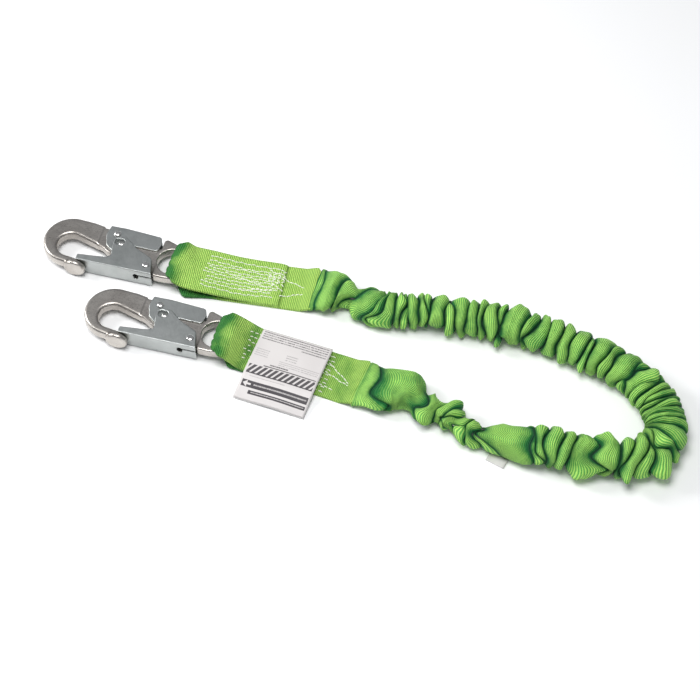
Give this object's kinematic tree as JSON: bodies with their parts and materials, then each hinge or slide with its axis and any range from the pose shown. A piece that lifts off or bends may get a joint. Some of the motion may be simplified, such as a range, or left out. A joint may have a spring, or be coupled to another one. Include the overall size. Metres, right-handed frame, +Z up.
{
  "type": "shock absorbing lanyard",
  "caption": "Gathered green webbing lanyard with a stretching core inside and a self-locking snap hook sewn into each end, laid out in a bend.",
  "frame": {"origin": "middle of the footprint, on the surface that the lanyard lies on", "axes": "+Z up; +X from the hooks towards the bend of the jacket; +Y from hook b towards hook a"},
  "size_m": [0.5644, 0.275, 0.0264],
  "materials": {
    "forged_steel": "satin, zinc plated forging",
    "zinc_plate": "satin, zinc plated pressing",
    "spring_wire": "bright drawn wire",
    "green_webbing": "ribbed high-visibility green webbing",
    "core_yarn": "undyed yarn",
    "rubber_strand": "matt",
    "label_paper": "printed synthetic paper"
  },
  "bodies": {
    "webbing": {"end_strap_a": "green_webbing", "end_strap_b": "green_webbing", "jacket": "green_webbing", "energy_core": "core_yarn", "elastic_strand_inner": "rubber_strand", "elastic_strand_outer": "rubber_strand", "label": "label_paper", "inspection_tag": "label_paper"},
    "hook_a": {"hook_body_a": "forged_steel", "gate_rivet_a": "forged_steel", "lever_rivet_a": "forged_steel", "gate_spring_a": "spring_wire", "lever_spring_a": "spring_wire"},
    "gate_a_body": {"gate_a": "zinc_plate"},
    "lever_a_body": {"lock_lever_a": "zinc_plate", "lock_pin_a": "forged_steel"},
    "hook_b": {"hook_body_b": "forged_steel", "gate_rivet_b": "forged_steel", "lever_rivet_b": "forged_steel", "gate_spring_b": "spring_wire", "lever_spring_b": "spring_wire"},
    "gate_b_body": {"gate_b": "zinc_plate"},
    "lever_b_body": {"lock_lever_b": "zinc_plate", "lock_pin_b": "forged_steel"}
  },
  "joints": [
    {"name": "hook_a_swing", "type": "hinge", "parent": "webbing", "child": "hook_a", "pos_m": [-0.15941, 0.08723, 0.01], "axis": [0.2487, 0.9686, 0], "range_deg": [-30, 30]},
    {"name": "gate_a_open", "type": "hinge", "parent": "hook_a", "child": "gate_a_body", "pos_m": [-0.18722, 0.08146, 0.01], "axis": [0, 0, -1], "range_deg": [0, 18], "stiffness_Nm_per_rad": 0.4, "springref_deg": -11.46},
    {"name": "lever_a_press", "type": "hinge", "parent": "hook_a", "child": "lever_a_body", "pos_m": [-0.21562, 0.11921, 0.01], "axis": [0, 0, -1], "range_deg": [0, 8], "stiffness_Nm_per_rad": 0.2, "springref_deg": -8.59},
    {"name": "hook_b_swing", "type": "hinge", "parent": "webbing", "child": "hook_b", "pos_m": [-0.11541, 0.00663, 0.01], "axis": [0.2487, 0.9686, 0], "range_deg": [-30, 30]},
    {"name": "gate_b_open", "type": "hinge", "parent": "hook_b", "child": "gate_b_body", "pos_m": [-0.14322, 0.00086, 0.01], "axis": [0, 0, -1], "range_deg": [0, 18], "stiffness_Nm_per_rad": 0.4, "springref_deg": -11.46},
    {"name": "lever_b_press", "type": "hinge", "parent": "hook_b", "child": "lever_b_body", "pos_m": [-0.17162, 0.03861, 0.01], "axis": [0, 0, -1], "range_deg": [0, 8], "stiffness_Nm_per_rad": 0.2, "springref_deg": -8.59}
  ],
  "couplings": [
    {"joint": "lever_a_press", "follows": "gate_a_open", "ratio": 0.4444},
    {"joint": "lever_b_press", "follows": "gate_b_open", "ratio": 0.4444}
  ]
}
